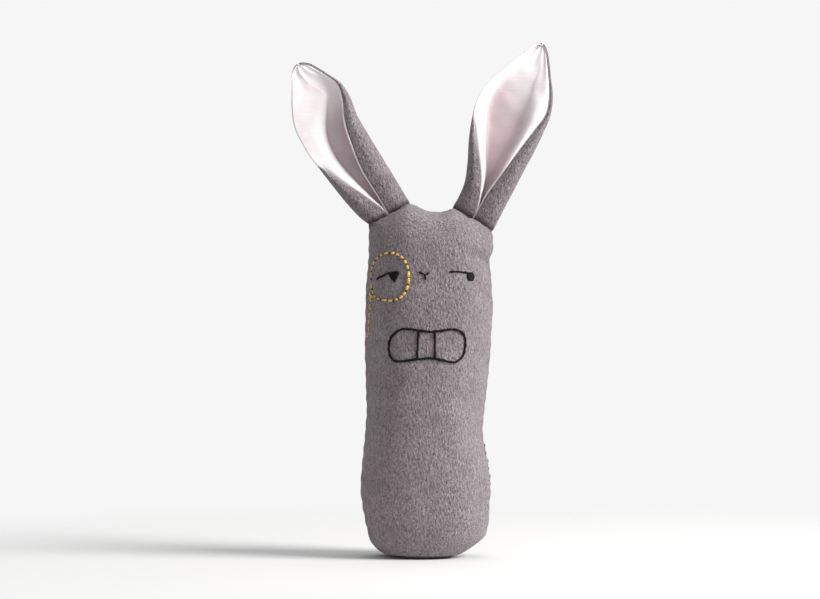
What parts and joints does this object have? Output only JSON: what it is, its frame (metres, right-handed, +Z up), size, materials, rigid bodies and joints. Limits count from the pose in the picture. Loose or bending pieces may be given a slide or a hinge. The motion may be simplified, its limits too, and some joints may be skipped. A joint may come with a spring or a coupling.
{
  "type": "stuffed bunny rabbit",
  "caption": "Slim stuffed bunny rabbit in heathered grey-mauve wool, with long satin-lined ears and a hand-embroidered face with a gold monocle.",
  "frame": {"origin": "middle of the flat patch under the body that the toy stands on, in line with the side seams", "axes": "+Z up the toy from its base to its ears, -Y the way the face looks, +X to the viewer's right"},
  "size_m": [0.1027, 0.0413, 0.1991],
  "materials": {
    "wool": "matte",
    "lining": "satin",
    "black_thread": "satin",
    "gold_thread": "satin",
    "dark_thread": "matte",
    "seam_thread": "matte",
    "stuffing": "matte"
  },
  "bodies": {
    "torso": {"body_front_panel": "wool", "body_back_panel": "wool", "body_stuffing": "stuffing", "body_seam_thread": "seam_thread", "closing_stitches": "seam_thread", "left_eye_stitches": "black_thread", "right_eye_stitches": "black_thread", "nose_stitches": "black_thread", "mouth_stitches": "black_thread", "teeth_stitches": "black_thread", "monocle_rim_stitches": "gold_thread", "monocle_dark_stitches": "dark_thread", "monocle_cord_stitches": "gold_thread", "left_ear_base": "wool", "right_ear_base": "wool"},
    "left_ear": {"left_ear_wool": "wool", "left_ear_lining": "lining", "left_ear_edge_thread": "seam_thread"},
    "right_ear": {"right_ear_wool": "wool", "right_ear_lining": "lining", "right_ear_edge_thread": "seam_thread"}
  },
  "joints": [
    {"name": "left_ear_fold", "type": "hinge", "parent": "torso", "child": "left_ear", "pos_m": [-0.01576, 0, 0.13571], "axis": [0.8829, 0, 0.4695], "range_deg": [-90, 90], "stiffness_Nm_per_rad": 0.01},
    {"name": "right_ear_fold", "type": "hinge", "parent": "torso", "child": "right_ear", "pos_m": [0.0195, 0, 0.13445], "axis": [0.8746, 0, -0.4848], "range_deg": [-90, 90], "stiffness_Nm_per_rad": 0.01}
  ]
}
